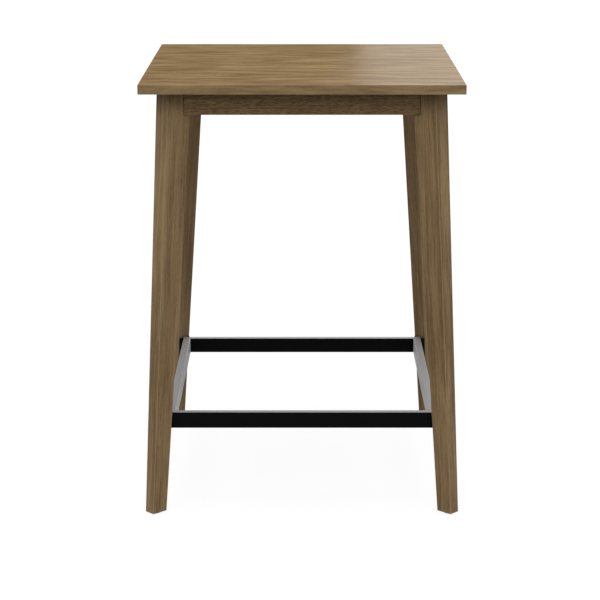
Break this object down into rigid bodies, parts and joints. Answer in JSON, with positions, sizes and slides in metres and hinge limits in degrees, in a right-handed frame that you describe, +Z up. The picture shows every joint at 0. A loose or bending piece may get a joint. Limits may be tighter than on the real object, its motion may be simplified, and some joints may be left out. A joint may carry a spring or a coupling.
{
  "type": "pub table",
  "caption": "Square bar-height pub table with splayed, tapered wooden legs, wooden aprons and a black steel footrest ring between the legs.",
  "frame": {"origin": "on the floor, under the middle of the square top", "axes": "+Z up, +Y from the front to the back of the table, +X to the right seen from the front"},
  "size_m": [0.7716, 0.7716, 1.063],
  "materials": {
    "top_wood": "satin stained veneer",
    "frame_wood": "satin stained solid wood",
    "block_wood": "bare planed wood",
    "black_steel": "smooth black paint",
    "black_screw": "black oxide",
    "zinc_steel": "zinc plated",
    "nylon": "black nylon"
  },
  "bodies": {
    "table": {"tabletop": "top_wood", "leg_back_right": "frame_wood", "leg_back_left": "frame_wood", "leg_front_left": "frame_wood", "leg_front_right": "frame_wood", "apron_back": "frame_wood", "apron_left": "frame_wood", "apron_front": "frame_wood", "apron_right": "frame_wood", "corner_block_back_right": "block_wood", "corner_block_back_left": "block_wood", "corner_block_front_left": "block_wood", "corner_block_front_right": "block_wood", "apron_dowels": "block_wood", "leg_bolts": "zinc_steel", "leg_bolt_washers": "zinc_steel", "leg_bolt_nuts": "zinc_steel", "block_screws": "zinc_steel", "top_clips": "zinc_steel", "top_clip_screws": "zinc_steel", "glide_inserts": "zinc_steel", "footrest_rail_back": "black_steel", "footrest_rail_left": "black_steel", "footrest_rail_front": "black_steel", "footrest_rail_right": "black_steel", "footrest_tab_back_right": "black_steel", "footrest_tab_back_left": "black_steel", "footrest_tab_front_left": "black_steel", "footrest_tab_front_right": "black_steel", "footrest_screws": "black_screw"},
    "glide_back_right": {"glide_pad_back_right": "nylon", "glide_stem_back_right": "zinc_steel"},
    "glide_back_left": {"glide_pad_back_left": "nylon", "glide_stem_back_left": "zinc_steel"},
    "glide_front_left": {"glide_pad_front_left": "nylon", "glide_stem_front_left": "zinc_steel"},
    "glide_front_right": {"glide_pad_front_right": "nylon", "glide_stem_front_right": "zinc_steel"}
  },
  "joints": [
    {"name": "glide_back_right_screw", "type": "slide", "parent": "table", "child": "glide_back_right", "axis": [0, 0, -1], "range_m": [0, 0.01]},
    {"name": "glide_back_left_screw", "type": "slide", "parent": "table", "child": "glide_back_left", "axis": [0, 0, -1], "range_m": [0, 0.01]},
    {"name": "glide_front_left_screw", "type": "slide", "parent": "table", "child": "glide_front_left", "axis": [0, 0, -1], "range_m": [0, 0.01]},
    {"name": "glide_front_right_screw", "type": "slide", "parent": "table", "child": "glide_front_right", "axis": [0, 0, -1], "range_m": [0, 0.01]}
  ]
}
